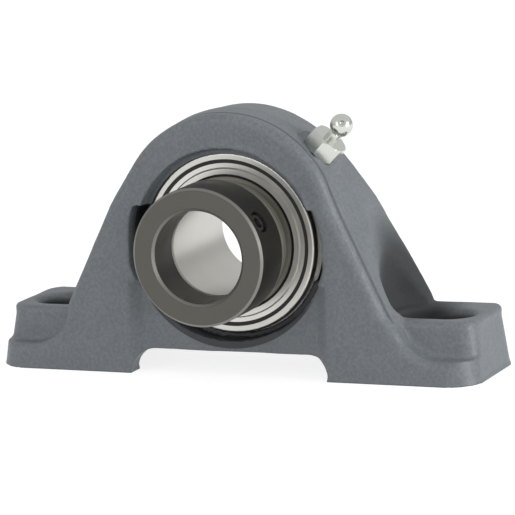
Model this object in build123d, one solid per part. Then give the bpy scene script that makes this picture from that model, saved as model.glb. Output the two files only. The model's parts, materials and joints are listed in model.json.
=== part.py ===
from build123d import *

import os
from math import cos, radians, sin, sqrt, tan

# Two-bolt pillow block with a self-aligning ball bearing insert and an eccentric locking collar.
# Millimetres. X runs along the base, Y from front to back, Z up. The origin is on the mounting
# plane, midway between the two bolt slots. The collar stands out of the front, towards -Y.

# Housing, front view
base_length = 142.6
shaft_height = 36.5
crown_height = 72.3
crown_radius = 32.8
foot_height = 16.5
slab_height = 6.9
flank_angle = 26.5
flank_root_radius = 12.0
ridge_radius = 2.6

# Housing, side view
base_width = 38.0
bearing_advance = 6.0
crown_thickness = 23.4
face_lean = 2.2
back_knee_height = 62.0
back_bulge = 1.4
back_edge_radius = 2.5
draft_angle = 3.5

# Feet and bolt slots
foot_corner_radius = 9.0
foot_end_draft = 9.0
foot_back_draft = 8.0
boss_setback = 5.4
boss_corner_radius = 5.0
boss_draft_angle = 6.0
boss_edge_radius = 1.8
bolt_spacing = 109.0
slot_length = 20.0
slot_width = 13.0
slot_rim_radius = 1.8
bolt_head_room = 4.4
bolt_seat_radius = 2.4

# Underside
arch_half_width = 29.2
arch_height = 6.4
core_half_length = 40.0
core_inner_half_gap = 21.0
core_wall = 6.0
core_height = 11.0
core_corner_radius = 4.0

# Bearing seat and the openings in front of it
seat_half_width = 8.2
seat_clearance = 0.06
front_bore_radius = 26.1
front_mouth_radius = 26.8
rear_bore_radius = 25.4
loading_radius = 28.4
loading_half_height = 10.3
loading_corner_radius = 1.2
lip_radius = 29.8
lip_rise = 2.9
lip_depth = 7.8
web_recess = 2.3
web_slope = 3.5

# Bearing insert
insert_diameter = 52.0
outer_ring_width = 15.0
outer_land_radius = 21.7
ring_edge_radius = 0.7
seal_seat_radius = 23.2
seal_seat_depth = 1.9
inner_ring_half_width = 17.45
inner_ring_radius = 16.9
shaft_diameter = 25.4
bore_chamfer = 0.7
ball_count = 9
ball_diameter = 7.938
pitch_radius = 19.52
race_conformity = 0.52
race_clearance = 0.04
grease_groove_width = 2.4
grease_groove_depth = 0.6
grease_groove_offset = 4.5
grease_hole_radius = 0.7

# Seals
seal_clearance = 0.05
seal_lip_clearance = 0.1
seal_thickness = 1.2
shield_outer_radius = 22.1
shield_inner_radius = 19.1
shield_thickness = 0.5
shield_bead_radius = 20.9
shield_bead_height = 0.4
flinger_radius = 18.4
flinger_gap = 0.4
flinger_thickness = 0.6
flinger_hub_thickness = 0.7
flinger_hub_length = 2.0

# Ball cage
cage_thickness = 0.8
cage_inner_radius = 18.2
cage_outer_radius = 20.8
cage_pocket_clearance = 0.15
rivet_radius = 0.6
rivet_clearance = 0.02
rivet_head_radius = 1.0
rivet_head_height = 0.35

# Eccentric locking collar
collar_diameter = 38.1
collar_width = 14.5
collar_reach = 29.7
collar_bore_clearance = 0.06
collar_bore_chamfer = 0.8
collar_rim_chamfer = 0.7
cam_eccentricity = 0.8
cam_radius = 15.4
cam_clearance = 0.3
cam_end_gap = 0.35
screw_radius = 3.0
screw_clearance = 0.1
screw_length = 5.2
screw_sink = 0.6
screw_inset = 5.4
screw_angle = 30.0
screw_point_chamfer = 0.7
socket_flats = 3.0
socket_depth = 2.6

# Grease fitting
fitting_angle = 45.0
spot_face_radius = 7.4
spot_face_reach = 34.8
hex_flats = 9.5
hex_height = 5.2
hex_chamfer = 0.6
thread_radius = 2.9
thread_clearance = 0.02
shank_end_gap = 2.0
bend_angle = 55.0
neck_radius = 1.9
neck_length = 4.0
head_radius = 3.15
head_reach = 3.0
nose_flat = 0.25
channel_radius = 1.0
passage_radius = 0.55
inlet_radius = 0.6
inlet_depth = 0.8
check_ball_radius = 0.85
check_ball_rest_gap = 0.02
spring_wire_radius = 0.14
spring_coil_radius = 0.68
spring_turns = 4
spring_length = 2.2

# Places worked out from the sizes above
front = -base_width / 2
back = base_width / 2
parting = -bearing_advance
far = 3 * base_length
bearing_centre = Vector(0, -bearing_advance, shaft_height)
ball_radius = ball_diameter / 2
bore_radius = shaft_diameter / 2
sphere_radius = insert_diameter / 2
ring_half_width = outer_ring_width / 2
seal_floor = ring_half_width - seal_seat_depth
race_radius = race_conformity * ball_diameter
race_shift = race_radius - ball_radius - race_clearance
seal_face = seal_floor + seal_thickness
flinger_start = seal_face + flinger_gap
collar_radius = collar_diameter / 2
collar_back = collar_reach - collar_width
cam_start = collar_back - cam_end_gap
cam_recess_end = inner_ring_half_width + cam_end_gap
screw_reach = collar_reach - screw_inset
shank_end = sphere_radius + shank_end_gap
bend_reach = spot_face_reach + hex_height + neck_length
chamber_end = head_reach + head_radius - inlet_depth
check_ball_seat = sqrt(check_ball_radius**2 - inlet_radius**2) + check_ball_rest_gap
check_ball_reach = chamber_end - check_ball_seat
chamber_start = check_ball_reach - check_ball_radius - check_ball_rest_gap - spring_length
spot_direction = Vector(cos(radians(fitting_angle)), 0, sin(radians(fitting_angle)))
crown_centre = Vector(0, crown_height - crown_radius)


# Helpers
def mirrored(point):
    return Vector(-point.X, point.Y)


def upright(face, depth):
    return Plane((0, depth, 0), x_dir=(1, 0, 0), z_dir=(0, -1, 0)) * face


def turned(points):
    """Turn a closed outline of (radius, depth) points about the bearing's axis."""
    face = make_face(Polyline(*points, close=True))
    return revolve(face, Axis.Y, 360)


def placed(solid):
    return Pos(*bearing_centre) * solid


def bored(radius, start, end):
    """A cylinder along the bearing's axis from one depth to another."""
    return turned([(0, start), (radius, start), (radius, end), (0, end)])


def mirrored_depth(solid):
    return mirror(solid, Plane.XZ)


# Housing
def face_depth(height):
    """Depth of the front face, which leans back as it rises."""
    return front + height * tan(radians(face_lean))


def front_outline(grow):
    """The casting seen from the front: slab, root curves, flanks and crown."""
    angle = radians(flank_angle)
    normal = Vector(cos(angle), sin(angle))
    radius = crown_radius + grow
    shoulder = crown_centre + normal * radius
    root_height = slab_height + flank_root_radius
    rise = (root_height - crown_centre.Y) * normal.Y
    root = Vector((radius + flank_root_radius - rise) / normal.X, root_height)
    halfway = radians((270 + 180 + flank_angle) / 2)
    flank_foot = root - normal * flank_root_radius
    root_middle = root + Vector(cos(halfway), sin(halfway)) * flank_root_radius
    slab_start = root - Vector(0, flank_root_radius)
    slab_end = Vector(base_length, slab_height)
    below = Vector(base_length, -base_width)
    top = crown_centre + Vector(0, radius)
    return make_face([
        Line(mirrored(below), below),
        Line(below, slab_end),
        Line(slab_end, slab_start),
        ThreePointArc(slab_start, root_middle, flank_foot),
        Line(flank_foot, shoulder),
        ThreePointArc(shoulder, top, mirrored(shoulder)),
        Line(mirrored(shoulder), mirrored(flank_foot)),
        ThreePointArc(mirrored(flank_foot), mirrored(root_middle), mirrored(slab_start)),
        Line(mirrored(slab_start), mirrored(slab_end)),
        Line(mirrored(slab_end), mirrored(below)),
    ])


def side_outline():
    """The casting seen from the end: both faces lean towards the crown."""
    crown_back = face_depth(crown_height) + crown_thickness
    slope = tan(radians(foot_back_draft))
    low = Vector(back - slope * foot_height, foot_height)
    knee = Vector(crown_back, back_knee_height)
    middle = (low + knee) / 2
    bulge = middle + Vector(knee.Y - low.Y, low.X - knee.X).normalized() * back_bulge
    high = Vector(crown_back, far)
    low_back = Vector(back + slope * base_width, -base_width)
    low_front = Vector(face_depth(-base_width), -base_width)
    high_front = Vector(face_depth(far), far)
    return make_face([
        Line(low_front, low_back),
        Line(low_back, low),
        ThreePointArc(low, bulge, knee),
        Line(knee, high),
        Line(high, high_front),
        Line(high_front, low_front),
    ])


def side_prism():
    return extrude(Plane.YZ * side_outline(), far, both=True)


def plan_prism():
    """The outline of the base, drawn in at both ends as it rises."""
    height = crown_height + crown_radius
    top_length = base_length - 2 * height * tan(radians(foot_end_draft))
    low = RectangleRounded(base_length, base_width, foot_corner_radius)
    high = Pos(0, 0, height) * RectangleRounded(top_length, base_width, foot_corner_radius)
    return loft([low, high], ruled=True)


def casting_body():
    """Arched body and slab with draft both ways from the parting plane."""
    slope = tan(radians(draft_angle))
    grown = slope * (parting - front)
    shrunk = grown - slope * (back - parting)
    at_front = upright(front_outline(0), front)
    at_parting = upright(front_outline(grown), parting)
    at_back = upright(front_outline(shrunk), back)
    body = loft([at_front, at_parting], ruled=True) + loft([at_parting, at_back], ruled=True)
    body = body & side_prism()
    body = fillet(rear_edges(body), back_edge_radius)
    return fillet(front_ridge(body), ridge_radius) & plan_prism()


def front_ridge(body):
    def on_front(edge):
        ends_on_face = all(abs(end.Y - face_depth(end.Z)) < 0.01 for end in edge.vertices())
        return ends_on_face and edge.bounding_box().max.Z > slab_height - 0.01
    return body.edges().filter_by(on_front)


def rear_edges(body):
    def on_rear(edge):
        middle = edge.center()
        across = abs(middle.X) < 1 and edge.geom_type == GeomType.LINE
        return middle.Z > foot_height and middle.Y > 0 and not across
    return body.edges().filter_by(on_rear)


def foot_boss():
    """The raised pad round the right bolt slot: flush with the slab's end, set back at the front."""
    def outline(height):
        end = base_length / 2 - height * tan(radians(foot_end_draft))
        start = front + boss_setback + height * tan(radians(boss_draft_angle))
        behind = back + base_width
        face = make_face(Polyline((0, start), (end, start), (end, behind), (0, behind), close=True))
        corner = face.vertices().sort_by(lambda v: v.Y - v.X)[0]
        return Pos(0, 0, height) * fillet(corner, boss_corner_radius)
    boss = loft([outline(0), outline(foot_height)], ruled=True) & plan_prism() & side_prism()
    boss = fillet(boss.edges().filter_by(on_boss_top), boss_edge_radius)
    outer_part = Pos(core_half_length + far / 2, 0, 0) * Box(far, far, far)
    return boss & outer_part


def on_boss_top(edge):
    return edge.bounding_box().min.Z > foot_height - 0.01 and edge.center().X > core_inner_half_gap


def slot_cutter():
    """A bolt slot with a rounded rim, and above it the room for the bolt's head and washer."""
    slot = SlotOverall(slot_length, slot_width)
    room = offset(slot, amount=bolt_head_room)
    cutter = Pos(0, 0, -1) * extrude(slot, foot_height + 1)
    cutter = cutter + Pos(0, 0, foot_height) * extrude(room, crown_height)
    cutter = fillet(cutter.edges().filter_by(on_slot_rim), slot_rim_radius)
    return fillet(cutter.edges().filter_by(on_bolt_seat), bolt_seat_radius)


def on_slot_rim(edge):
    box = edge.bounding_box()
    return level_with_boss(box) and max(box.max.Y, -box.min.Y) < slot_width / 2 + 0.01


def on_bolt_seat(edge):
    box = edge.bounding_box()
    return level_with_boss(box) and max(box.max.Y, -box.min.Y) > slot_width / 2 + bolt_head_room - 0.01


def level_with_boss(box):
    return abs(box.min.Z - foot_height) < 0.01 and box.size.Z < 0.01


def underside_cutter():
    """The arch through both walls and the hollow behind the front wall."""
    arch = RectangleRounded(2 * arch_half_width, 2 * arch_height, 0.98 * arch_height)
    cutter = extrude(upright(arch, 0), base_width, both=True)
    core_width = base_width - 2 * core_wall
    low_core = RectangleRounded(2 * core_half_length, core_width, core_corner_radius)
    cutter = cutter + extrude(low_core, arch_height)
    leg = core_half_length - core_inner_half_gap
    for side in (-1, 1):
        pocket = Pos(side * (core_inner_half_gap + leg / 2), 0, 0) * RectangleRounded(
            leg, core_width, core_corner_radius)
        cutter = cutter + extrude(pocket, core_height)
    return cutter


def seat_cutter():
    """The spherical seat between a wider front bore and a plain rear bore."""
    radius = sphere_radius + seat_clearance
    edge_radius = sqrt(radius**2 - seat_half_width**2)
    band = make_face([
        Line((0, -seat_half_width), (edge_radius, -seat_half_width)),
        ThreePointArc((edge_radius, -seat_half_width), (radius, 0), (edge_radius, seat_half_width)),
        Line((edge_radius, seat_half_width), (0, seat_half_width)),
        Line((0, seat_half_width), (0, -seat_half_width)),
    ])
    seat = revolve(band, Axis.Y, 360)
    mouth = face_depth(shaft_height) - parting
    seat = seat + turned([
        (0, -seat_half_width), (front_bore_radius, -seat_half_width), (front_mouth_radius, mouth),
        (front_mouth_radius, -base_width), (0, -base_width)])
    return placed(seat + bored(rear_bore_radius, seat_half_width, base_width))


def loading_slots():
    """The two slots through which the insert goes in crosswise before it is turned upright."""
    opening = Circle(loading_radius) & Rectangle(2 * loading_radius, 2 * loading_half_height)
    corners = opening.vertices().filter_by(lambda v: abs(v.Y) > loading_half_height - 0.01)
    opening = fillet(corners, loading_corner_radius)
    return placed(extrude(upright(opening, 0), base_width))


def lip_cutter():
    """The wider lower lip of the opening, a crescent below the insert."""
    lip = Pos(0, lip_rise) * Circle(lip_radius)
    lower = Pos(0, -lip_radius) * Rectangle(2 * loading_radius, 2 * lip_radius)
    depth = front - parting + lip_depth
    return placed(extrude(upright(lip & lower, depth), base_width))


def web_cutter():
    """The shallow recess between the legs, with sloping sides and a floor along the leaning face."""
    root = arch_half_width - web_slope
    outline = Polyline(
        (-arch_half_width, front), (-root, front + web_recess), (root, front + web_recess),
        (arch_half_width, front), (arch_half_width, front - 1), (-arch_half_width, front - 1), close=True)
    recess = extrude(make_face(outline), shaft_height - loading_half_height)
    return Pos(0, front, 0) * Rot(-face_lean, 0, 0) * Pos(0, -front, 0) * recess


def grease_way():
    """The tapped hole, its spot face and the passage down to the seat."""
    axis = Plane(bearing_centre, z_dir=spot_direction)
    spot = Pos(0, 0, spot_face_reach) * extrude(Circle(spot_face_radius), base_width)
    tapped = Pos(0, 0, shank_end) * extrude(
        Circle(thread_radius + thread_clearance), spot_face_reach - shank_end)
    passage = Pos(0, 0, sphere_radius - 1) * extrude(Circle(channel_radius), base_width / 2)
    way = Plane(bearing_centre, x_dir=(0, -1, 0), z_dir=spot_direction) * (
        Pos(grease_groove_offset / 2, 0, sphere_radius) * Box(
            grease_groove_offset + 2 * channel_radius, 2 * channel_radius, 2 * grease_groove_depth))
    return axis * (spot + tapped + passage) + way


def housing():
    body = casting_body()
    boss = foot_boss()
    body = body + boss + mirror(boss, Plane.YZ)
    for side in (-1, 1):
        body = body - Pos(side * bolt_spacing / 2, 0, 0) * slot_cutter()
    body = body - underside_cutter() - web_cutter() - loading_slots() - lip_cutter()
    return body - seat_cutter() - grease_way()


# Bearing rings
def ball_groove(centre_radius):
    return revolve(Pos(centre_radius, 0) * Circle(race_radius), Axis.Y, 360)


def outer_ring():
    """Spherical outside, seal seats at both faces, one ball groove and a grease groove."""
    edge_radius = sqrt(sphere_radius**2 - ring_half_width**2)
    section = make_face([
        Line((outer_land_radius, -seal_floor), (outer_land_radius, seal_floor)),
        Line((outer_land_radius, seal_floor), (seal_seat_radius, seal_floor)),
        Line((seal_seat_radius, seal_floor), (seal_seat_radius, ring_half_width)),
        Line((seal_seat_radius, ring_half_width), (edge_radius, ring_half_width)),
        ThreePointArc((edge_radius, ring_half_width), (sphere_radius, 0), (edge_radius, -ring_half_width)),
        Line((edge_radius, -ring_half_width), (seal_seat_radius, -ring_half_width)),
        Line((seal_seat_radius, -ring_half_width), (seal_seat_radius, -seal_floor)),
        Line((seal_seat_radius, -seal_floor), (outer_land_radius, -seal_floor)),
    ])
    edges = section.vertices().filter_by(lambda v: abs(v.X - edge_radius) < 0.01)
    ring = revolve(fillet(edges, ring_edge_radius), Axis.Y, 360)
    ring = ring - ball_groove(pitch_radius - race_shift)
    half = grease_groove_width / 2
    bottom = sqrt(sphere_radius**2 - grease_groove_offset**2) - grease_groove_depth
    near = -grease_groove_offset + half
    deep = -grease_groove_offset - half
    ring = ring - turned([(bottom, deep), (sphere_radius, deep), (sphere_radius, near), (bottom, near)])
    hole_axis = Plane((0, -grease_groove_offset, 0), z_dir=spot_direction)
    ring = ring - hole_axis * extrude(Circle(grease_hole_radius), base_width)
    return placed(ring)


def inner_ring():
    """Wide inner ring with a ball groove and an eccentric cam on its front end."""
    end = inner_ring_half_width
    ring = turned([
        (bore_radius, -end + bore_chamfer), (bore_radius + bore_chamfer, -end), (inner_ring_radius, -end),
        (inner_ring_radius, end), (bore_radius + bore_chamfer, end), (bore_radius, end - bore_chamfer)])
    ring = ring - ball_groove(pitch_radius + race_shift)
    round_cam = bored(inner_ring_radius + 1, -end - 1, -cam_start)
    round_cam = round_cam - Pos(0, 0, cam_eccentricity) * bored(cam_radius, -end - 1, -cam_start)
    return placed(ring - round_cam)


# Seals, drawn for the rear side and mirrored to the front
def seal():
    lip = inner_ring_radius + seal_lip_clearance
    rim = seal_seat_radius - seal_clearance
    bead = shield_outer_radius + seal_clearance
    return turned([
        (lip, seal_floor), (rim, seal_floor), (rim, ring_half_width - seal_clearance),
        (bead, ring_half_width - seal_clearance), (bead, seal_face), (lip, seal_face)])


def shield():
    """Pressed steel cover over the rubber seal, joggled outward towards its throat."""
    top = seal_face + shield_thickness
    slant = shield_bead_height
    return turned([
        (shield_outer_radius, seal_face), (shield_outer_radius, top),
        (shield_bead_radius, top), (shield_bead_radius - slant, top + shield_bead_height),
        (shield_inner_radius, top + shield_bead_height), (shield_inner_radius, seal_face + shield_bead_height),
        (shield_bead_radius - slant - shield_thickness / 2, seal_face + shield_bead_height),
        (shield_bead_radius - shield_thickness / 2, seal_face)])


def flinger():
    """Thrower ring pressed on the inner ring just outside the seal."""
    fit = inner_ring_radius
    hub = fit + flinger_hub_thickness
    plate = flinger_start + flinger_thickness
    return turned([
        (fit, flinger_start), (flinger_radius, flinger_start), (flinger_radius, plate),
        (hub, plate), (hub, plate + flinger_hub_length), (fit, plate + flinger_hub_length)])


# Balls and cage
def ball_angle(number):
    return 90 + number * 360 / ball_count


def around(angle, radius):
    return Vector(radius * cos(radians(angle)), 0, radius * sin(radians(angle)))


def ball(number):
    return placed(Pos(*around(ball_angle(number), pitch_radius)) * Sphere(ball_radius))


def rivet_angles():
    return [ball_angle(number + 0.5) for number in range(ball_count)]


def cage_half():
    """A pressed ring with a dished pocket for every ball and a rivet hole between pockets."""
    pocket_radius = ball_radius + cage_pocket_clearance
    band = bored(cage_outer_radius, 0, base_width) - bored(cage_inner_radius, 0, base_width)
    half = bored(cage_outer_radius, 0, cage_thickness)
    for number in range(ball_count):
        half = half + Pos(*around(ball_angle(number), pitch_radius)) * Sphere(pocket_radius + cage_thickness)
    half = half & band
    for number in range(ball_count):
        half = half - Pos(*around(ball_angle(number), pitch_radius)) * Sphere(pocket_radius)
    for angle in rivet_angles():
        half = half - Pos(*around(angle, pitch_radius)) * bored(
            rivet_radius + rivet_clearance, -1, cage_thickness + 1)
    return half


def cage_rivets():
    end = cage_thickness + rivet_head_height
    rivet = turned([
        (0, -end), (rivet_head_radius, -end), (rivet_head_radius, -cage_thickness),
        (rivet_radius, -cage_thickness), (rivet_radius, cage_thickness),
        (rivet_head_radius, cage_thickness), (rivet_head_radius, end), (0, end)])
    return [placed(Pos(*around(angle, pitch_radius)) * rivet) for angle in rivet_angles()]


# Locking collar
def collar_screw_axis():
    direction = around(screw_angle, 1)
    return Plane((0, -screw_reach, 0), x_dir=(0, -1, 0), z_dir=direction)


def eccentric_collar():
    """Collar with an off-centre recess that grips the cam, a plain bore and a screw hole."""
    bore = bore_radius + collar_bore_clearance
    rim = collar_radius - collar_rim_chamfer
    collar = turned([
        (bore, -collar_back), (rim, -collar_back), (collar_radius, -collar_back - collar_rim_chamfer),
        (collar_radius, -collar_reach + collar_rim_chamfer), (rim, -collar_reach),
        (bore + collar_bore_chamfer, -collar_reach), (bore, -collar_reach + collar_bore_chamfer)])
    recess = Pos(0, 0, cam_eccentricity) * bored(
        cam_radius + cam_clearance, -cam_recess_end, -collar_back + 1)
    hole = collar_screw_axis() * extrude(Circle(screw_radius + screw_clearance), base_width)
    return placed(collar - recess - hole)


def collar_set_screw():
    """Hexagon socket set screw with a chamfered point, just below the collar's surface."""
    top = collar_radius - screw_sink
    screw = Pos(0, 0, top - screw_length) * extrude(Circle(screw_radius), screw_length)
    point = screw.edges().sort_by(Axis.Z)[0]
    screw = chamfer(point, screw_point_chamfer)
    socket = RegularPolygon(socket_flats / 2, 6, major_radius=False)
    screw = screw - Pos(0, 0, top - socket_depth) * extrude(socket, socket_depth + 1)
    return placed(collar_screw_axis() * screw)


# Grease fitting
def fitting_axis():
    return Plane(bearing_centre, x_dir=(0, -1, 0), z_dir=spot_direction)


def head_axis():
    """From the bend towards the head, in the fitting's own axes."""
    bend = radians(bend_angle)
    return Plane((0, 0, bend_reach), x_dir=(cos(bend), 0, -sin(bend)), z_dir=(sin(bend), 0, cos(bend)))


def grease_fitting_body():
    """Threaded shank, hexagon and a head bent towards the front, with the passage through it."""
    hexagon = RegularPolygon(hex_flats / 2, 6, major_radius=False)
    hexagon = Pos(0, 0, spot_face_reach) * extrude(hexagon, hex_height)
    corner = hex_flats / sqrt(3)
    tip = spot_face_reach + hex_height
    rounding = revolve(make_face(Polyline(
        (0, spot_face_reach), (corner - hex_chamfer, spot_face_reach), (corner, spot_face_reach + hex_chamfer),
        (corner, tip - hex_chamfer), (corner - hex_chamfer, tip), (0, tip), close=True)), Axis.Y, 360)
    hexagon = hexagon & Rot(90, 0, 0) * rounding
    shank = Pos(0, 0, shank_end) * extrude(Circle(thread_radius), spot_face_reach - shank_end)
    neck = Pos(0, 0, tip) * extrude(Circle(neck_radius), bend_reach - tip)
    elbow = Pos(0, 0, bend_reach) * Sphere(neck_radius)
    tail = head_axis() * extrude(Circle(neck_radius), head_reach)
    head = head_axis() * (Pos(0, 0, head_reach) * Sphere(head_radius))
    nose = head_axis() * (Pos(0, 0, head_reach + head_radius - nose_flat) * extrude(
        Circle(head_radius), head_radius))
    body = hexagon + shank + neck + elbow + tail + head - nose
    riser = Pos(0, 0, shank_end) * extrude(Circle(passage_radius), bend_reach - shank_end)
    passage = head_axis() * extrude(Circle(passage_radius), chamber_start)
    chamber = head_axis() * (Pos(0, 0, chamber_start) * extrude(
        Circle(channel_radius), chamber_end - chamber_start))
    inlet = head_axis() * (Pos(0, 0, chamber_end) * extrude(Circle(inlet_radius), head_radius))
    return fitting_axis() * (body - riser - passage - chamber - inlet)


def check_ball():
    return fitting_axis() * head_axis() * (Pos(0, 0, check_ball_reach) * Sphere(check_ball_radius))


def check_spring():
    """Coil that holds the check ball against the inlet."""
    height = spring_length - 2 * spring_wire_radius
    path = Helix(height / spring_turns, height, spring_coil_radius)
    wire = Plane(path @ 0, z_dir=path % 0) * Circle(spring_wire_radius)
    coil = sweep(wire, path)
    return fitting_axis() * head_axis() * (Pos(0, 0, chamber_start + spring_wire_radius) * coil)


# Every node and the solids in it
def write(name, solids):
    solids = solids if isinstance(solids, list) else [solids]
    bodies = [body for solid in solids for body in solid.solids()]
    shape = bodies[0] if len(bodies) == 1 else Compound(children=bodies)
    export_step(shape, f"parts/{name}.step")


os.makedirs("parts", exist_ok=True)
write("housing", housing())
write("outer_ring", outer_ring())
write("inner_ring", inner_ring())
for name, make in (("seal", seal), ("seal_shield", shield), ("flinger", flinger)):
    write(f"rear_{name}", placed(make()))
    write(f"front_{name}", placed(mirrored_depth(make())))
write("cage_rear", placed(cage_half()))
write("cage_front", placed(mirrored_depth(cage_half())))
write("cage_rivets", cage_rivets())
for number in range(ball_count):
    write(f"ball_{number + 1}", ball(number))
write("eccentric_collar", eccentric_collar())
write("collar_set_screw", collar_set_screw())
write("grease_fitting_body", grease_fitting_body())
write("grease_fitting_check_ball", check_ball())
write("grease_fitting_spring", check_spring())
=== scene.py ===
import json
from math import cos, pi, radians, sin, tan

import bpy
from mathutils import Matrix, Vector

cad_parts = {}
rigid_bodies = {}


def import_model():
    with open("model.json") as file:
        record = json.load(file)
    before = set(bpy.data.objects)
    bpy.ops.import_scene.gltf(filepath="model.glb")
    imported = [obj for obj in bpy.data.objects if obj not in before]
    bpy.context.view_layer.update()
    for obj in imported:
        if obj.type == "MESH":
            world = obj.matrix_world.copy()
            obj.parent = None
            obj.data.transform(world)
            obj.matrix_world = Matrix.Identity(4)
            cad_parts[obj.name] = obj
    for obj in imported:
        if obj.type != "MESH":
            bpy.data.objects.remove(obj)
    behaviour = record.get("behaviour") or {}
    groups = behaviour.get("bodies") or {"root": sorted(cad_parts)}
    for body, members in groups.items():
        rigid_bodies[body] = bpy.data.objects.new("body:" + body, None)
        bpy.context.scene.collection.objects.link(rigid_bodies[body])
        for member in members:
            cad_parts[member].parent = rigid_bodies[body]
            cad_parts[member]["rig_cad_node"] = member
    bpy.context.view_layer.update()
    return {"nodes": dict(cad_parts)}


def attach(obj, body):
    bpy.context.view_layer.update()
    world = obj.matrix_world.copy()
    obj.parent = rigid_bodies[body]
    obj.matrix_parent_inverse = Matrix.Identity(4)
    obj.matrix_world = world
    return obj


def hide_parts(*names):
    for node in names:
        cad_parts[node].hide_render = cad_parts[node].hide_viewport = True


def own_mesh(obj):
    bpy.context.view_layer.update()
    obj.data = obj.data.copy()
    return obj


# Dressed model of a two-bolt pillow block with an insert bearing and a locking collar.
# Metres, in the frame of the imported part: X along the base, Y to the back, Z up.

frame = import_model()

MM = 0.001
BEARING = Vector((0, -6.0, 36.5)) * MM

# The photograph's view
VIEW_AZIMUTH = radians(23.5)
VIEW_ELEVATION = radians(10.75)
VIEW_ROLL = radians(-2.65)
VIEW_DISTANCE = 1.105
VIEW_TARGET = Vector((2.2, 0, 29.9)) * MM
FOCAL_IN_PHOTO_PIXELS = 4000
PHOTO_PIXELS = 515
SENSOR = 36

# The casting's front face leans back as it rises
FACE_SLOPE = tan(radians(2.2))
FACE_FOOT = -19 * MM

# The casting's skin
SKIN_VOXEL = 0.45 * MM
SKIN_TRIANGLES = 185000
SKIN_SMOOTHING = 7
SKIN_CREASE = radians(38)
WAVE_SPACING = 11 * MM
WAVE_DEPTH = 0.28 * MM
MERGE_GAP = 0.01 * MM
GROUP_LEVELS = 12

# Machined up to the first of each two, rough casting from the second
SEAT_RADII = [v * MM for v in (27.0, 28.4)]
UNDERSIDE_HEIGHTS = [v * MM for v in (0.3, 1.4)]
SPOT_FACE_RADIUS = 7.6 * MM
SPOT_FACE_REACH = 34.0 * MM

# The flanks slope out from the shoulder to the feet
SHOULDER = Vector((29.4, 0, 54.1)) * MM
FLANK_SLOPE = 0.5
FLANK_BAND = [v * MM for v in (2, 9)]
FLANK_HEIGHTS = [v * MM for v in (13, 19, 45, 58)]
FLANK_GROWTH = 1.35 * MM
FITTING_CLEAR = [v * MM for v in (8, 12)]
RIDGE_DEPTHS = [v * MM for v in (-17, -4)]
RIDGE_CUT = 1.5 * MM

# The hollows above the bolt slots
SCOOP_DEPTHS = [v * MM for v in (-15, -6, 4, 15)]
SCOOP_HEIGHTS = [v * MM for v in (17.6, 20, 27, 47)]
SCOOP_DEEPENING = 2.2 * MM
SCOOP_SMOOTHING = 90

# Grease fitting: its shank points up to the right, its head forwards
FITTING_DIRECTION = Vector((cos(radians(45)), 0, sin(radians(45))))

# Collar, with depths from the bearing's middle
COLLAR_RADIUS = 19.05 * MM
COLLAR_BORE = 12.76 * MM
COLLAR_FRONT = -29.7 * MM

# Set screw: M6 with a 3 mm socket
SCREW_DIRECTION = Vector((cos(radians(30)), 0, sin(radians(30))))
SCREW_DEPTH = -24.3 * MM
SCREW_SINK = 0.6 * MM
SCREW_LENGTH = 5.2 * MM
SCREW_SIDES = 48
SCREW_BEVEL = 0.12 * MM
SCREW_CREASE = radians(30)
THREAD_PITCH = 1.0 * MM
THREAD_TURNS = 4
THREAD_CREST = 2.98 * MM
THREAD_ROOT = 2.42 * MM
THREAD_SUNK = 0.1 * MM
THREAD_FLANK = 0.5 * MM
SOCKET_FLATS = 3.0 * MM
SOCKET_DEPTH = 2.6 * MM
SOCKET_RIM = 0.25 * MM
CUP_RIM = 0.6 * MM
CUP_WALL = 0.8 * MM
CUP_DEPTH = 0.7 * MM
END_FACE = 0.9

# Bare iron, darkened on the seat and the lip below it as painted shade of the gap round the ring: each two
# are where it starts and where it is full
BARE_AND_SHADE_RADII = [v * MM for v in (29.1, 28.8)]
BARE_AND_SHADE_DEPTHS = [v * MM for v in (3.4, 4.6)]
LIP_HEIGHTS = [v * MM for v in (24, 18)]
LIP_DEPTHS = [v * MM for v in (0.6, 1.6)]
MILLED_HEIGHTS = [v * MM for v in (0.25, 0.05)]

# Painted shade in the hollows above the bolt slots, in the slots and behind the front ridge, likewise
HOLLOW_CENTRE = Vector((45, 6, 22)) * MM
HOLLOW_REACH = Vector((19, 17, 28)) * MM
HOLLOW_FADE = [1.0, 0.4]
HOLLOW_BACK = [v * MM for v in (18.6, 17.4)]
SLOT_INNER_END = [v * MM for v in (43.6, 44.6)]
SLOT_OUTER_END = [v * MM for v in (65.4, 64.4)]
SLOT_MOUTH = [v * MM for v in (15.6, 13.5)]
SLOT_WALLS = [v * MM for v in (7.4, 6.8)]
LINE_DEPTH = 3.2 * MM
LINE_WIDTHS = [v * MM for v in (0.9, 0.18)]
LINE_HEIGHTS = [v * MM for v in (15, 18)]
LINE_SHARE = 0.55
PAINTED_SHADE_STRENGTH = 0.88
PAINTED_SHADE_ROUGHNESS = 0.45

# Darker places and the painted rim highlight of the collar, likewise
DARKER_OUTSIDE = [COLLAR_RADIUS - 0.25 * MM, COLLAR_RADIUS - 0.05 * MM]
DARKER_BORE = [COLLAR_BORE + 0.5 * MM, COLLAR_BORE + 0.1 * MM]
RIM_FRONT = [COLLAR_FRONT + 0.03 * MM, COLLAR_FRONT + 0.13 * MM]
RIM_BACK = [COLLAR_FRONT + 0.8 * MM, COLLAR_FRONT + 0.7 * MM]

# Studio
FLOOR_SIZE = 30
FLOOR_GLOW = 0.84
WALL_STRENGTH = 0.55
CEILING_STRENGTH = 0.72
WALL_TOP = sin(radians(18))
WALL_FADE = 0.1
LIGHT_TARGET = Vector((0, 0, 0.035))


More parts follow.
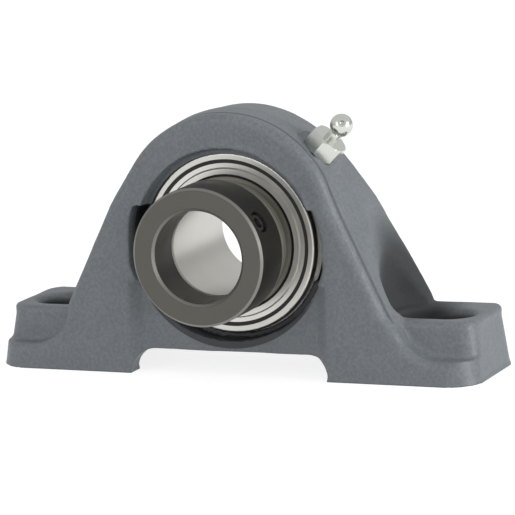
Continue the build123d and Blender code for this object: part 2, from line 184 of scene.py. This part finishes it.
def set_camera():
    az, el, roll = VIEW_AZIMUTH, VIEW_ELEVATION, VIEW_ROLL
    back = Vector((sin(az) * cos(el), -cos(az) * cos(el), sin(el)))
    level_right = Vector((cos(az), sin(az), 0))
    level_up = back.cross(level_right)
    right = cos(roll) * level_right + sin(roll) * level_up
    up = back.cross(right)
    turn = Matrix((right, up, back)).transposed().to_euler()
    bpy.ops.object.camera_add(location=VIEW_TARGET + back * VIEW_DISTANCE, rotation=turn)
    camera = bpy.context.object
    camera.name = "photo_camera"
    camera.data.sensor_width = SENSOR
    camera.data.lens = FOCAL_IN_PHOTO_PIXELS / PHOTO_PIXELS * SENSOR
    bpy.context.scene.camera = camera


# Materials
TIMES = {"operation": "MULTIPLY"}
PLUS = {"operation": "ADD"}
LESS = {"operation": "SUBTRACT"}
LARGER = {"operation": "MAXIMUM"}
UNSIGNED = {"operation": "ABSOLUTE"}
LENGTH = {"operation": "LENGTH"}
SMOOTH = {"interpolation_type": "SMOOTHSTEP"}
COLOURS = {"data_type": "RGBA"}


def linear(hex_colour):
    """sRGB hex, such as "6a6e72", to a linear colour with alpha."""
    channels = [int(hex_colour[i:i + 2], 16) / 255 for i in (0, 2, 4)]
    return [c / 12.92 if c <= 0.04045 else ((c + 0.055) / 1.055) ** 2.4 for c in channels] + [1]


def add(tree, kind, settings=None, **links):
    """Adds a node with its settings. A link names an input, or numbers it as i0, i1 and so on,
    and gives it a value, a socket, or a node whose first output goes there."""
    node = tree.nodes.new(kind)
    for key, value in (settings or {}).items():
        setattr(node, key, value)
    for key, value in links.items():
        name = int(key[1:]) if key[0] == "i" and key[1:].isdigit() else key.replace("_", " ")
        if isinstance(value, bpy.types.Node):
            value = value.outputs[0]
        if isinstance(value, bpy.types.NodeSocket):
            tree.links.new(value, node.inputs[name])
        else:
            node.inputs[name].default_value = value
    return node


def new_material(name):
    material = bpy.data.materials.new(name)
    material.use_nodes = True
    tree = material.node_tree
    tree.nodes.clear()
    output = tree.nodes.new("ShaderNodeOutputMaterial")
    return material, tree, output


def finish_surface(tree, output, **inputs):
    shader = add(tree, "ShaderNodeBsdfPrincipled", None, **inputs)
    tree.links.new(shader.outputs[0], output.inputs["Surface"])
    return shader


def within(tree, *limits):
    """1 where every limit is passed. A limit is a value, where its share starts and where it is full."""
    share = None
    for value, start, full in limits:
        step = add(tree, "ShaderNodeMapRange", SMOOTH, Value=value, From_Min=start, From_Max=full)
        share = add(tree, "ShaderNodeMath", TIMES, i0=share, i1=step) if share else step
    return share


def about_shaft(tree, place):
    """Radius from the shaft's axis and depth along it, for a pattern that goes round the bearing."""
    centred = add(tree, "ShaderNodeVectorMath", LESS, i0=place, i1=BEARING)
    parts = add(tree, "ShaderNodeSeparateXYZ", None, i0=centred)
    flat = add(tree, "ShaderNodeCombineXYZ", None, X=parts.outputs["X"], Z=parts.outputs["Z"])
    radius = add(tree, "ShaderNodeVectorMath", LENGTH, i0=flat)
    return radius.outputs["Value"], parts.outputs["Y"]


def behind_face(tree, parts):
    """Depth behind the casting's front face."""
    face = add(tree, "ShaderNodeMath", {"operation": "MULTIPLY_ADD"},
               i0=parts.outputs["Z"], i1=FACE_SLOPE, i2=FACE_FOOT)
    return add(tree, "ShaderNodeMath", LESS, i0=parts.outputs["Y"], i1=face)


def bare_iron_and_gap_shade_share(tree, place, parts):
    """1 in the bored seat, on the lip below it and on the milled underside, which are
    machined after painting. On the seat and the lip the bare colour is darker than bare iron, as painted
    shade of the gap round the ring. The mouth of the opening stays painted."""
    height = parts.outputs["Z"]
    radius, _ = about_shaft(tree, place)
    behind = behind_face(tree, parts)
    seat = within(tree, (radius, *BARE_AND_SHADE_RADII), (behind, *BARE_AND_SHADE_DEPTHS))
    lip = within(tree, (radius, *BARE_AND_SHADE_RADII), (height, *LIP_HEIGHTS), (behind, *LIP_DEPTHS))
    opening = add(tree, "ShaderNodeMath", LARGER, i0=seat, i1=lip)
    return add(tree, "ShaderNodeMath", LARGER, i0=opening, i1=within(tree, (height, *MILLED_HEIGHTS)))


def painted_shade_share(tree, parts):
    """1 where shade is painted: the hollows above the bolt slots, the slots' walls
    and, fainter, a line just behind the front ridge."""
    depth, height = parts.outputs["Y"], parts.outputs["Z"]
    across = add(tree, "ShaderNodeMath", UNSIGNED, i0=parts.outputs["X"])
    folded = add(tree, "ShaderNodeCombineXYZ", None, X=across, Y=depth, Z=height)
    away = add(tree, "ShaderNodeVectorMath", LESS, i0=folded, i1=HOLLOW_CENTRE)
    scaled = add(tree, "ShaderNodeVectorMath", {"operation": "DIVIDE"}, i0=away, i1=HOLLOW_REACH)
    reach = add(tree, "ShaderNodeVectorMath", LENGTH, i0=scaled).outputs["Value"]
    hollow = within(tree, (reach, *HOLLOW_FADE), (depth, *HOLLOW_BACK))
    from_middle = add(tree, "ShaderNodeMath", UNSIGNED, i0=depth)
    slot = within(tree, (across, *SLOT_INNER_END), (across, *SLOT_OUTER_END),
                  (height, *SLOT_MOUTH), (from_middle, *SLOT_WALLS))
    past_line = add(tree, "ShaderNodeMath", LESS, i0=behind_face(tree, parts), i1=LINE_DEPTH)
    off_line = add(tree, "ShaderNodeMath", UNSIGNED, i0=past_line)
    line = within(tree, (off_line, *LINE_WIDTHS), (height, *LINE_HEIGHTS))
    faint_line = add(tree, "ShaderNodeMath", TIMES, i0=line, i1=LINE_SHARE)
    low_places = add(tree, "ShaderNodeMath", LARGER, i0=hollow, i1=slot)
    return add(tree, "ShaderNodeMath", LARGER, i0=low_places, i1=faint_line)


def cast_enamel():
    """Grey enamel sprayed on a sand casting: satin, with the sand's grain showing through.
    The bored seat and the underside are bare, oiled iron, and shade is painted into the hollows, the slots
    and along a line behind the front ridge.
    Grain and sag of the paint are 0.9 and 9 mm wide, the grain coarser than the sand so that it shows."""
    material, tree, output = new_material("grey_enamel_on_sand_cast_iron")
    place = add(tree, "ShaderNodeTexCoord").outputs["Object"]
    parts = add(tree, "ShaderNodeSeparateXYZ", None, i0=place)
    grain = add(tree, "ShaderNodeTexNoise", None, Vector=place, Scale=1 / (0.9 * MM),
                Detail=3.0, Roughness=0.6)
    sag = add(tree, "ShaderNodeTexNoise", None, Vector=place, Scale=1 / (9 * MM),
              Detail=3.0, Roughness=0.55)
    flecks = within(tree, (grain, 0.3, 0.7))
    sum_of_both = add(tree, "ShaderNodeMath", PLUS, i0=sag, i1=flecks)
    tone = add(tree, "ShaderNodeMath", TIMES, i0=sum_of_both, i1=0.5)
    paint = add(tree, "ShaderNodeMix", COLOURS, Factor=tone, i6=linear("61666b"), i7=linear("7a8084"))
    # Painted shade: the hollows above the bolt slots, the slots and a line behind the front ridge are
    # darkened
    painted_shade = add(tree, "ShaderNodeMath", TIMES, i0=painted_shade_share(tree, parts), i1=PAINTED_SHADE_STRENGTH)
    shaded_paint = add(tree, "ShaderNodeMix", COLOURS, Factor=painted_shade, i6=paint.outputs[2], i7=linear("2a2c2d"))
    # Bare iron, its colour darkened as painted shade of the deep gap round the ring
    colour = add(tree, "ShaderNodeMix", COLOURS, Factor=bare_iron_and_gap_shade_share(tree, place, parts),
                 i6=shaded_paint.outputs[2], i7=linear("33353a"))
    bump = add(tree, "ShaderNodeBump", None, Strength=0.5, Distance=0.12 * MM, Height=grain)
    satin = add(tree, "ShaderNodeMapRange", None, Value=sag, To_Min=0.40, To_Max=0.52)
    dulling = add(tree, "ShaderNodeMath", TIMES, i0=painted_shade, i1=PAINTED_SHADE_ROUGHNESS)
    rough = add(tree, "ShaderNodeMath", PLUS, i0=satin, i1=dulling)
    finish_surface(tree, output, Base_Color=colour.outputs[2], Roughness=rough, Metallic=0.0,
                   Normal=bump)
    return material


def turned_steel(name, colour_hex, roughness, mark_depth, mark_spacing, colouring=None):
    """Steel with fine rings left by turning, grinding or pressing about the bearing's axis,
    which draw the highlights out round it. colouring, where given, makes the colour."""
    material, tree, output = new_material(name)
    place = add(tree, "ShaderNodeTexCoord").outputs["Object"]
    radius, depth = about_shaft(tree, place)
    along_profile = add(tree, "ShaderNodeMath", PLUS, i0=radius, i1=depth)
    rings = add(tree, "ShaderNodeCombineXYZ", None, X=along_profile)
    marks = add(tree, "ShaderNodeTexNoise", None, Vector=rings, Scale=1 / mark_spacing, Detail=2.0)
    stain = add(tree, "ShaderNodeTexNoise", None, Vector=place, Scale=1 / (6 * MM), Detail=2.0)
    bump = add(tree, "ShaderNodeBump", None, Strength=0.5, Distance=mark_depth, Height=marks)
    rough = add(tree, "ShaderNodeMapRange", None, Value=stain,
                To_Min=roughness * 0.85, To_Max=roughness * 1.15)
    shader = finish_surface(tree, output, Base_Color=linear(colour_hex), Roughness=rough,
                            Metallic=1.0, Normal=bump)
    if colouring:
        colour = colouring(tree, radius, depth, linear(colour_hex))
        tree.links.new(colour, shader.inputs["Base Color"])
    return material


def collar_tone_and_rim_highlight(tree, radius, depth, face_colour):
    """Darker on the round outside and in the bore than on the face, with a painted
    highlight on the chamfers along the front rims."""
    darker_places = add(tree, "ShaderNodeMath", LARGER, i0=within(tree, (radius, *DARKER_OUTSIDE)),
                 i1=within(tree, (radius, *DARKER_BORE)))
    darker_tone = add(tree, "ShaderNodeMix", COLOURS, Factor=darker_places, i6=face_colour, i7=linear("42413d"))
    # Painted highlight on the chamfers along the front rims
    rims = within(tree, (depth, *RIM_FRONT), (depth, *RIM_BACK))
    rim_highlighted = add(tree, "ShaderNodeMix", COLOURS, Factor=rims, i6=darker_tone.outputs[2], i7=linear("868480"))
    return rim_highlighted.outputs[2]


def plain_metal(name, colour_hex, roughness):
    """Metal with no direction to its finish: an even shine, a little clouded."""
    material, tree, output = new_material(name)
    place = add(tree, "ShaderNodeTexCoord").outputs["Object"]
    clouds = add(tree, "ShaderNodeTexNoise", None, Vector=place, Scale=1 / (1.5 * MM), Detail=3.0)
    rough = add(tree, "ShaderNodeMapRange", None, Value=clouds,
                To_Min=roughness * 0.7, To_Max=roughness * 1.3)
    bump = add(tree, "ShaderNodeBump", None, Strength=0.3, Distance=0.02 * MM, Height=clouds)
    finish_surface(tree, output, Base_Color=linear(colour_hex), Roughness=rough, Metallic=1.0,
                   Normal=bump)
    return material


def nitrile_rubber():
    """Moulded seal rubber: black and matt, with a fine skin."""
    material, tree, output = new_material("moulded_nitrile_rubber")
    place = add(tree, "ShaderNodeTexCoord").outputs["Object"]
    grain = add(tree, "ShaderNodeTexNoise", None, Vector=place, Scale=1 / (0.4 * MM), Detail=2.0)
    bump = add(tree, "ShaderNodeBump", None, Strength=0.3, Distance=0.02 * MM, Height=grain)
    finish_surface(tree, output, Base_Color=linear("1c1c1b"), Roughness=0.6, Normal=bump)
    return material


# Modelling
def select_only(piece):
    bpy.ops.object.select_all(action="DESELECT")
    piece.select_set(True)
    bpy.context.view_layer.objects.active = piece


def apply_modifier(piece, kind, **settings):
    modifier = piece.modifiers.new(kind.lower(), kind)
    for key, value in settings.items():
        setattr(modifier, key, value)
    select_only(piece)
    bpy.ops.object.modifier_apply(modifier=modifier.name)


def ramp(value, low, high):
    return min(1, max(0, (value - low) / (high - low)))


def plateau(value, start, full, fall, end):
    """0 up to start, 1 from full to fall, 0 again from end, with soft shoulders."""
    share = ramp(value, start, full) * (1 - ramp(value, fall, end))
    return share * share * (3 - 2 * share)


def about_fitting(point):
    """How far out a point lies along the fitting's axis, and how far off it."""
    from_bearing = point - BEARING
    along = from_bearing.dot(FITTING_DIRECTION)
    return along, (from_bearing - along * FITTING_DIRECTION).length


def cast_share(point):
    """1 on the rough casting, 0 on the seat, the underside and the spot face, which are machined."""
    from_bearing = point - BEARING
    radius = Vector((from_bearing.x, 0, from_bearing.z)).length
    along, off_axis = about_fitting(point)
    on_spot = along > SPOT_FACE_REACH and off_axis < SPOT_FACE_RADIUS
    return 0 if on_spot else ramp(radius, *SEAT_RADII) * ramp(point.z, *UNDERSIDE_HEIGHTS)


def flank_share(point, side):
    """1 on the flank of that side, 0 from the opening inwards and round the fitting."""
    edge = SHOULDER.x + (SHOULDER.z - point.z) * FLANK_SLOPE
    inside = edge - side * point.x
    return (1 - ramp(inside, *FLANK_BAND)) * ramp(about_fitting(point)[1], *FITTING_CLEAR)


def leg_share(point, side):
    return flank_share(point, side) * plateau(point.z, *FLANK_HEIGHTS) * cast_share(point)


def wider_share(point, side):
    """1 where the leg of that side is wider: all of the left one, the back of the right one."""
    share = leg_share(point, side)
    return share * ramp(point.y, *RIDGE_DEPTHS) if side > 0 else share


def ridge_share(point):
    """1 along the right leg's front ridge, which lies further in than the left one."""
    return leg_share(point, 1) * (1 - ramp(point.y, *RIDGE_DEPTHS))


def scoop_share(point, side):
    """1 in the hollow that a spanner needs above the bolt slot."""
    share = plateau(point.y, *SCOOP_DEPTHS) * plateau(point.z, *SCOOP_HEIGHTS)
    return share * flank_share(point, side)


def group_points(skin, name, share):
    """Vertex group whose weights follow share(point), in a few levels for speed."""
    group = skin.vertex_groups.new(name=name)
    by_level = [[] for _ in range(GROUP_LEVELS + 1)]
    for vertex in skin.data.vertices:
        by_level[round(share(vertex.co) * GROUP_LEVELS)].append(vertex.index)
    for level, points in enumerate(by_level):
        if level > 0:
            group.add(points, level / GROUP_LEVELS, "REPLACE")


def shift_group(skin, name, distance):
    apply_modifier(skin, "DISPLACE", direction="X", strength=distance, mid_level=0, vertex_group=name)


def copy_of(source, name):
    """A merged copy of a CAD solid, free to be changed."""
    select_only(source)
    bpy.ops.object.duplicate()
    piece = bpy.context.object
    piece.name = name
    piece.parent = None
    del piece["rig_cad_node"]
    bpy.ops.object.mode_set(mode="EDIT")
    bpy.ops.mesh.select_all(action="SELECT")
    bpy.ops.mesh.remove_doubles(threshold=MERGE_GAP)
    bpy.ops.object.mode_set(mode="OBJECT")
    return piece


def casting_skin():
    """The casting as the mould leaves it: cast corners blended and faces a little wavy."""
    source = frame["nodes"]["housing"]
    skin = copy_of(source, "housing_casting")
    apply_modifier(skin, "REMESH", mode="VOXEL", voxel_size=SKIN_VOXEL)
    group_points(skin, "machined", lambda point: cast_share(point) == 0)
    group_points(skin, "cast", cast_share)
    group_points(skin, "ridge", ridge_share)
    shift_group(skin, "ridge", -RIDGE_CUT)
    for side, name in ((1, "right"), (-1, "left")):
        group_points(skin, name + "_flank", lambda point: wider_share(point, side))
        group_points(skin, name + "_scoop", lambda point: scoop_share(point, side))
        shift_group(skin, name + "_flank", side * FLANK_GROWTH)
        shift_group(skin, name + "_scoop", -side * SCOOP_DEEPENING)
        apply_modifier(skin, "SMOOTH", factor=0.5, iterations=SCOOP_SMOOTHING, vertex_group=name + "_scoop")
    apply_modifier(skin, "SMOOTH", factor=0.5, iterations=SKIN_SMOOTHING, vertex_group="cast")
    waves = bpy.data.textures.new("casting_waves", "CLOUDS")
    waves.noise_scale = WAVE_SPACING
    waves.noise_depth = 2
    # Only inwards, so that the skin stays inside the CAD model's box
    apply_modifier(skin, "DISPLACE", texture=waves, strength=WAVE_DEPTH, mid_level=1.0, vertex_group="cast")
    apply_modifier(skin, "SHRINKWRAP", target=source, wrap_method="NEAREST_SURFACEPOINT",
                   vertex_group="machined")
    triangles = 2 * len(skin.data.polygons)
    apply_modifier(skin, "DECIMATE", ratio=min(1, SKIN_TRIANGLES / triangles))
    skin.vertex_groups.clear()
    select_only(skin)
    bpy.ops.object.shade_smooth_by_angle(angle=SKIN_CREASE)
    return skin


def edit_faces(piece, chosen):
    """Opens a piece for editing with only the faces selected that chosen picks."""
    select_only(piece)
    bpy.ops.object.mode_set(mode="EDIT")
    bpy.ops.mesh.select_mode(type="FACE")
    bpy.ops.mesh.select_all(action="DESELECT")
    bpy.ops.object.mode_set(mode="OBJECT")
    for face in piece.data.polygons:
        face.select = chosen(face)
    bpy.ops.object.mode_set(mode="EDIT")


def screw_core():
    """The screw without its thread: a hexagon socket in one end, a cup point at the other."""
    bpy.ops.object.select_all(action="DESELECT")
    bpy.ops.mesh.primitive_cylinder_add(vertices=SCREW_SIDES, radius=THREAD_ROOT, depth=SCREW_LENGTH)
    core = bpy.context.object
    edit_faces(core, lambda face: face.normal.z > END_FACE)
    bpy.ops.mesh.inset(thickness=SOCKET_RIM)
    bpy.ops.object.mode_set(mode="OBJECT")
    edit_faces(core, lambda face: face.normal.z < -END_FACE)
    bpy.ops.mesh.inset(thickness=CUP_RIM)
    bpy.ops.mesh.inset(thickness=CUP_WALL, depth=-CUP_DEPTH)
    bpy.ops.object.mode_set(mode="OBJECT")
    bpy.ops.object.select_all(action="DESELECT")
    bpy.ops.mesh.primitive_cylinder_add(
        vertices=6, radius=SOCKET_FLATS / 2 / cos(pi / 6), depth=2 * SOCKET_DEPTH,
        location=(0, 0, SCREW_LENGTH / 2))
    socket = bpy.context.object
    apply_modifier(core, "BOOLEAN", operation="DIFFERENCE", object=socket, solver="EXACT")
    bpy.data.objects.remove(socket)
    apply_modifier(core, "BEVEL", width=SCREW_BEVEL, segments=2,
                   limit_method="ANGLE", angle_limit=radians(50))
    return core


def screw_thread():
    """A triangle drawn up a helix, its root a little inside the core."""
    bpy.ops.object.select_all(action="DESELECT")
    bpy.ops.mesh.primitive_circle_add(
        vertices=3, radius=THREAD_FLANK, fill_type="NGON", rotation=(pi / 2, 0, 0),
        location=(THREAD_ROOT, 0, -THREAD_TURNS * THREAD_PITCH / 2))
    thread = bpy.context.object
    bpy.ops.object.transform_apply(location=True, rotation=True, scale=True)
    for vertex in thread.data.vertices:
        at_crest = vertex.co.x > THREAD_ROOT + THREAD_FLANK / 2
        vertex.co.x = THREAD_CREST if at_crest else THREAD_ROOT - THREAD_SUNK
    apply_modifier(thread, "SCREW", axis="Z", screw_offset=THREAD_PITCH, iterations=THREAD_TURNS,
                   steps=36, render_steps=36, use_merge_vertices=True)
    return thread


def set_screw():
    """The collar's set screw, turned into place with its socket outwards."""
    screw = screw_core()
    select_only(screw_thread())
    screw.select_set(True)
    bpy.context.view_layer.objects.active = screw
    bpy.ops.object.join()
    screw.name = "set_screw_m6"
    middle = COLLAR_RADIUS - SCREW_SINK - SCREW_LENGTH / 2
    screw.location = BEARING + Vector((0, SCREW_DEPTH, 0)) + middle * SCREW_DIRECTION
    screw.rotation_euler = SCREW_DIRECTION.to_track_quat("Z", "Y").to_euler()
    select_only(screw)
    bpy.ops.object.transform_apply(location=True, rotation=True, scale=True)
    bpy.ops.object.shade_smooth_by_angle(angle=SCREW_CREASE)
    return screw


def place_piece(piece, material, body, node):
    piece.data.materials.clear()
    piece.data.materials.append(material)
    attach(piece, body)
    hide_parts(node)


# Floor, backdrop and lights
def add_floor():
    """Glows near white for the camera and in reflections, and still takes the object's shadow."""
    bpy.ops.object.select_all(action="DESELECT")
    bpy.ops.mesh.primitive_plane_add(size=FLOOR_SIZE, location=(0, 0, 0))
    floor = bpy.context.object
    floor.name = "studio_floor"
    material, tree, output = new_material("white_studio_floor")
    path = add(tree, "ShaderNodeLightPath")
    seen = add(tree, "ShaderNodeMath", LARGER, i0=path.outputs["Is Camera Ray"],
               i1=path.outputs["Is Transmission Ray"])
    seen = add(tree, "ShaderNodeMath", LARGER, i0=seen, i1=path.outputs["Is Glossy Ray"])
    paper = add(tree, "ShaderNodeBsdfDiffuse", None, Color=(0.8, 0.8, 0.8, 1))
    faint = add(tree, "ShaderNodeBsdfDiffuse", None, Color=(0.3, 0.3, 0.3, 1))
    glow = add(tree, "ShaderNodeEmission", None, Color=(1, 1, 1, 1), Strength=FLOOR_GLOW)
    shown = add(tree, "ShaderNodeAddShader", None, i0=faint, i1=glow)
    blend = add(tree, "ShaderNodeMixShader", None, i0=seen, i1=paper, i2=shown)
    tree.links.new(blend.outputs[0], output.inputs["Surface"])
    floor.data.materials.append(material)


def add_world():
    """White for the camera, and for the object a dimmer wall below a lighter ceiling."""
    world = bpy.data.worlds.new("studio")
    world.use_nodes = True
    tree = world.node_tree
    tree.nodes.clear()
    output = tree.nodes.new("ShaderNodeOutputWorld")
    path = add(tree, "ShaderNodeLightPath")
    way = add(tree, "ShaderNodeTexCoord").outputs["Generated"]
    height = add(tree, "ShaderNodeSeparateXYZ", None, i0=way).outputs["Z"]
    level = add(tree, "ShaderNodeMapRange", SMOOTH, Value=height,
                From_Min=WALL_TOP - WALL_FADE, From_Max=WALL_TOP + WALL_FADE,
                To_Min=WALL_STRENGTH, To_Max=CEILING_STRENGTH)
    light = add(tree, "ShaderNodeBackground", None, Color=(1, 1, 1, 1), Strength=level)
    white = add(tree, "ShaderNodeBackground", None, Color=(1, 1, 1, 1), Strength=1.0)
    mix = add(tree, "ShaderNodeMixShader", None, i0=path.outputs["Is Camera Ray"], i1=light, i2=white)
    tree.links.new(mix.outputs[0], output.inputs["Surface"])
    bpy.context.scene.world = world


def add_softbox(name, place, width, height, power):
    aim = LIGHT_TARGET - Vector(place)
    turn = aim.to_track_quat("-Z", "Y").to_euler()
    bpy.ops.object.light_add(type="AREA", location=place, rotation=turn)
    lamp = bpy.context.object
    lamp.name = name
    lamp.data.shape = "RECTANGLE"
    lamp.data.size = width
    lamp.data.size_y = height
    lamp.data.energy = power


bpy.ops.object.select_all(action="DESELECT")
set_camera()

# Ground: bright, with hair-fine rings. Pressed: brighter for the shields, greyer for the flingers
ring_steel = turned_steel("ground_bearing_steel", "cfcec8", 0.36, 0.01 * MM, 0.12 * MM)
shield_steel = turned_steel("pressed_shield_steel", "dad9d3", 0.36, 0.01 * MM, 0.2 * MM)
flinger_steel = turned_steel("pressed_flinger_steel", "98978f", 0.42, 0.01 * MM, 0.2 * MM)
# Oiled black coating: dark and brownish, with a dull shine
black_oxide = turned_steel("black_oxide_on_turned_steel", "5f5d58", 0.45, 0.02 * MM, 0.15 * MM,
                           collar_tone_and_rim_highlight)
screw_black = plain_metal("black_oxide_set_screw", "55534e", 0.45)
# Electroplated: silvery and shiny. Lapped: a mirror. Pressed: satin grey
zinc = plain_metal("bright_zinc_plate", "d6d8d2", 0.22)
lapped = plain_metal("lapped_ball_steel", "cfcfcd", 0.08)
pressed = plain_metal("pressed_cage_steel", "a5a39e", 0.35)

balls = [name for name in frame["nodes"] if name.startswith("ball_")]
for material, nodes in (
        (lapped, balls + ["grease_fitting_check_ball"]),
        (pressed, ["cage_front", "cage_rear", "cage_rivets"]),
        (nitrile_rubber(), ["front_seal", "rear_seal"]),
        (shield_steel, ["front_seal_shield", "rear_seal_shield"]),
        (flinger_steel, ["front_flinger", "rear_flinger"]),
        (ring_steel, ["outer_ring", "inner_ring"]),
        (black_oxide, ["eccentric_collar"]),
        (zinc, ["grease_fitting_body"])):
    for node in nodes:
        slots = frame["nodes"][node].data.materials
        slots.clear()
        slots.append(material)

place_piece(casting_skin(), cast_enamel(), "housing", "housing")
place_piece(set_screw(), screw_black, "set_screw", "collar_set_screw")

# The coil behind the check ball, as a copy with a mesh of its own
coil = copy_of(frame["nodes"]["grease_fitting_spring"], "check_ball_coil")
place_piece(coil, pressed, "housing", "grease_fitting_spring")
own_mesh(coil)

add_floor()
add_world()
add_softbox("front_softbox", (-0.5, -1.3, 0.6), 0.8, 0.8, 3.6)
add_softbox("right_softbox", (1.3, -0.1, 0.25), 0.5, 0.8, 11)
bpy.context.scene.view_settings.view_transform = "Standard"
